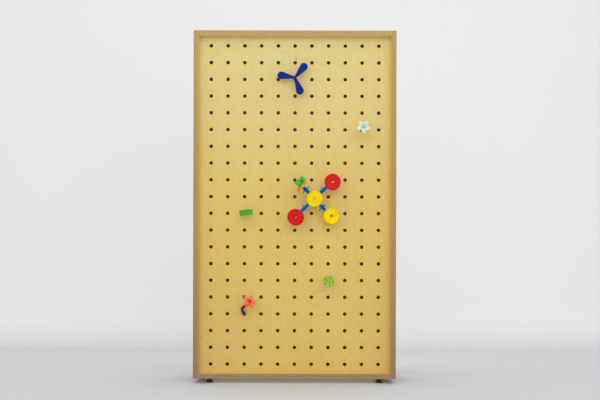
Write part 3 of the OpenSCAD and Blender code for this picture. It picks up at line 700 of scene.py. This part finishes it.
def along_bend(bend, share=1.0):
    """Matrix at a share of a round bend that starts along z."""
    radius, turn, direction = bend
    angle = math.radians(turn * share)
    step = Matrix.Translation((radius * (1 - math.cos(angle)), 0, radius * math.sin(angle)))
    return turned(direction) @ step @ turned(turn * share, "Y") @ turned(-direction)


def stem_path():
    """Matrices along the stem, from inside the case to its end."""
    start = at_hole(2, 16)
    first = start @ forward(STEM_OUT)
    second = first @ along_bend(BEND_1)
    third = second @ along_bend(BEND_2)
    path = [start @ forward(-PEG_IN + k * (PEG_IN + STEM_OUT) / 6) for k in range(6)]
    path += [first @ along_bend(BEND_1, k / 14) for k in range(14)]
    path += [second @ along_bend(BEND_2, k / 14) for k in range(14)]
    path += [third @ forward(STEM_END * k / 6) for k in range(7)]
    return path, third


def red_stem():
    path, last = stem_path()
    shape = Shape()
    ring = [2 * math.pi * k / 40 for k in range(40)]
    shrink = [(path[0], 0.72), (path[0] @ forward(0.5 * MM), 0.93)]
    grow = [(path[-1] @ forward(-0.5 * MM), 0.93), (path[-1], 0.72)]
    stations = shrink + [(at, 1.0) for at in path[1:-1]] + grow
    rows = [[at @ Vector((STEM_RADIUS * size * math.cos(a), STEM_RADIUS * size * math.sin(a), 0))
             for a in ring] for at, size in stations]
    shape.grid(rows, closed=True, capped=(True, True))
    finish_piece(shape.piece("bent_stem", Matrix.Identity(4), purple), "red_flower_plug",
                 "purple_plastic", "red_flower_stem")
    return last @ forward(STEM_END - RED_STEM_IN + RED_CUP)


# ------------------------------------------------------------------ feet and screws

def foot(name):
    """Moulded pad with a fluted rim and a waist, hollow at the top for its stud."""
    low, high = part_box(name + "_pad")
    place = Matrix.Translation(((low.x + high.x) / 2, (low.y + high.y) / 2, 0))
    rim, neck, stud = (high.x - low.x) / 2, 6.5 * MM, 4 * MM
    profile = [(0, 0), (rim - 0.6 * MM, 0), (rim, 0.7 * MM), (rim, 2.6 * MM),
               (rim - 0.9 * MM, 3.4 * MM), (neck + 1.1 * MM, 7 * MM), (neck, 9.4 * MM),
               (neck, high.z), (stud, high.z), (stud, high.z - 6 * MM), (0, high.z - 6 * MM)]
    shape = Shape()
    shape.lathe(rounded(profile, 0.5 * MM, 2), steps=96)
    flutes = 24
    for point in shape.points:
        radius = math.hypot(point.x, point.y)
        if radius > rim - 0.05 * MM:
            angle = math.atan2(point.y, point.x)
            inward = 1 - 0.03 * max(0.0, math.cos(flutes * angle)) ** 2
            point.x *= inward
            point.y *= inward
    finish_piece(shape.piece(name + "_rubber", place, foot_rubber), name, "foot_rubber",
                 name + "_pad")


def screw(shape, at, length, head_radius=4 * MM, shank_radius=2 * MM, head=2.4 * MM):
    """Countersunk screw with a cross recess, its head flush at z = 0 and its tip at z = length."""
    arm, reach, deep = 0.55 * MM, 2.0 * MM, 1.5 * MM
    corners = [(arm, arm), (arm, reach), (-arm, reach), (-arm, arm), (-reach, arm),
               (-reach, -arm), (-arm, -arm), (-arm, -reach), (arm, -reach), (arm, -arm),
               (reach, -arm), (reach, arm)]
    spokes = [Vector((*corner, 0)) for corner in corners]
    angles = [math.atan2(point.y, point.x) for point in spokes]
    rim = [Vector((head_radius * math.cos(a), head_radius * math.sin(a), 0)) for a in angles]
    floor = [Vector((p.x * 0.55, p.y * 0.55, deep)) for p in spokes]
    for rows in ([rim, spokes], [spokes, floor]):
        shape.grid([[at @ point for point in row] for row in rows], closed=True)
    shape.grid([[at @ point for point in floor]], closed=True, capped=(True, False))
    turns, ridge = 12, 0.45 * MM
    profile = [(head_radius, 0), (shank_radius, head)]
    step = (length - head - 3 * MM) / turns
    for k in range(turns):
        z = head + k * step
        profile += [(shank_radius - ridge, z + 0.35 * step), (shank_radius, z + 0.7 * step)]
    profile += [(shank_radius - ridge, length - 3 * MM), (0, length)]
    rows = [[at @ Vector((max(r, 1e-6) * math.cos(a), max(r, 1e-6) * math.sin(a), z))
             for a in angles] for r, z in profile]
    shape.grid(rows, closed=True)


def back_screws():
    """The screws of the back sheet, all in one piece."""
    shape = Shape()
    board, end_gap, step_share, length = 15 * MM, 95 * MM, 0.31, 26 * MM
    middle = (case_low + case_high) / 2
    width, height = case_high.x - case_low.x, case_high.z - case_low.z
    inwards = turned(90, "X")
    places = []
    for side in (-1, 1):
        for k in range(5):
            z = case_low.z + end_gap + k * (height - 2 * end_gap) / 4
            places.append((side * (width - board) / 2, z))
        for k in (-1, 0, 1):
            places.append((step_share * width * k, middle.z + side * (height - board) / 2))
    random.seed(4)
    for x, z in places:
        at = Matrix.Translation((x, case_high.y, z)) @ inwards @ turned(random.uniform(0, 90))
        screw(shape, at, length)
    finish_piece(shape.piece("back_sheet_screws", Matrix.Identity(4), steel, sharp=25), "case",
                 "zinc_steel", "back_screws")


# ------------------------------------------------------------------ the pieces

propeller()

white_front = at_hole(9, 5) @ forward(81.95 * MM)
flower("white_flower_head", white_front, "white_flower_head", "frosted_white_plastic",
       "white_flower", frosted, reach=20 * MM, width=11.5 * MM, angle=270,
       cup_radius=6.5 * MM, cup_height=11 * MM)
button("white_flower_eye", white_front, 22 * MM, "white_flower_plug", "teal_plastic",
       "white_flower_button", teal)

star_front = at_hole(7, 14) @ forward(80 * MM)
flower("green_flower_head", star_front, "star_head", "lime_plastic", "green_flower", lime,
       reach=21 * MM, width=12.5 * MM, angle=32, cup_radius=7.5 * MM, cup_height=5 * MM,
       curl=0.7 * MM)
star_backing(star_front @ forward(-8 * MM))

red_front = red_stem()
flower("red_flower_head_piece", red_front, "red_flower_head", "coral_plastic", "red_flower", coral,
       reach=22 * MM, width=12.5 * MM, angle=24, cup_radius=8.5 * MM, cup_height=RED_CUP,
       curl=1.6 * MM, bore=4.4 * MM)
button("red_flower_eye", red_front, 15 * MM, "red_flower_head", "crimson_plastic",
       "red_flower_button", crimson)

foot_rubber = rubber("foot_rubber")
for corner in ("front_left", "front_right", "back_left", "back_right"):
    foot("foot_" + corner)
back_screws()

# ------------------------------------------------------------------ stage, light, camera


def backdrop():
    """Floor that sweeps up into a wall behind the board, in one pale sheet; its floor is painted
    darker and a little bluer than its wall, as painted shade. Its outer side is clear, so that a
    camera behind the wall sees the back of the board."""
    material, tree, shader, coords = new_material("backdrop_paper")
    place = add(tree, "SeparateXYZ", {0: coords.outputs["Object"]}).outputs
    fibre = noise(tree, coords.outputs["Object"], 260.0, detail=3.0)
    # painted shade: the sheet is painted darker and a little bluer low down, on the floor, than on
    # the wall
    height = spread(tree, place[Z], 0.0, 0.14)
    tone = mix(tree, height, srgb(213, 216, 220), srgb(236, 236, 236))
    tone = mix(tree, spread(tree, fibre, 0.3, 0.7, 0.0, 0.03), tone, srgb(200, 200, 200))
    plug(tree, shader, Base_Color=tone, Roughness=0.9, Specular_IOR_Level=0.1)
    outer = add(tree, "NewGeometry").outputs["Backfacing"]
    clear = add(tree, "BsdfTransparent").outputs[0]
    both = add(tree, "MixShader", {0: outer, 1: shader.outputs[0], 2: clear}).outputs[0]
    tree.links.new(both, tree.nodes["Material Output"].inputs["Surface"])
    near, wall, radius, half, top = -7.0, 1.12, 0.16, 14.0, 4.5
    profile = [(near, 0.0)]
    for k in range(17):
        a = math.pi / 2 * k / 16
        profile.append((wall - radius + radius * math.sin(a), radius - radius * math.cos(a)))
    profile.append((wall, top))
    sheet = Shape()
    sheet.grid([[Vector((x, y, z)) for x in (-half, half)] for y, z in profile])
    paper = sheet.piece("backdrop", Matrix.Identity(4), material, sharp=80)
    if paper.data.polygons[0].normal.z < 0:
        paper.data.flip_normals()


def area_light(name, place, target, size, power, colour=(1, 1, 1)):
    light = bpy.data.lights.new(name, "AREA")
    light.shape = "RECTANGLE"
    light.size, light.size_y = size
    light.energy = power
    light.color = colour
    holder = bpy.data.objects.new(name, light)
    bpy.context.scene.collection.objects.link(holder)
    holder.location = place
    holder.visible_camera = False
    holder.rotation_mode = "QUATERNION"
    holder.rotation_quaternion = (Vector(target) - Vector(place)).to_track_quat("-Z", "Y")


backdrop()
middle_z = (cad_box[0].z + cad_box[1].z) / 2
# a slightly blue front light and a warm surround give the toys warm shadows
cool = (0.94, 0.99, 1.06)
area_light("key", (0.1, -3.4, 1.75), (0, 0, middle_z), (3.4, 1.6), 20, cool)
area_light("fill", (0, -4.6, 1.1), (0, 0, middle_z), (4.6, 3.0), 56, cool)
area_light("wall_wash", (0.3, 0.4, 3.4), (0.3, 1.12, 0.8), (4.0, 0.8), 6.5)
area_light("low_wash", (0.1, 0.25, 0.5), (0.1, 1.12, 0.5), (0.5, 0.5), 1.5, cool)
area_light("under_the_board", (0, 0, case_low.z - 0.002), (0, 0, 0), (0.5, 0.16), 0.04)
inside = (0, panel_high.y + 0.03, middle_z)
area_light("light_through_the_holes", inside, (0, case_low.y, middle_z), (0.5, 0.9), 0.12,
           (1.0, 0.7, 0.85))

world = bpy.data.worlds.new("studio")
world.use_nodes = True
world.node_tree.nodes["Background"].inputs[0].default_value = (0.99, 0.97, 0.94, 1)
world.node_tree.nodes["Background"].inputs[1].default_value = 0.84
bpy.context.scene.world = world

camera_data = bpy.data.cameras.new("camera")
camera_data.lens = 60.9
camera_data.sensor_width = 36.0
camera_data.shift_y = 0.0833
camera = bpy.data.objects.new("camera", camera_data)
bpy.context.scene.collection.objects.link(camera)
camera_place = (0.016, front_y - 3.0, 0.396)
camera_roll = 0.15
camera.matrix_world = (Matrix.Translation(camera_place) @ turned(90, "X")
                       @ turned(camera_roll))
bpy.context.scene.camera = camera
bpy.context.scene.view_settings.view_transform = "Standard"
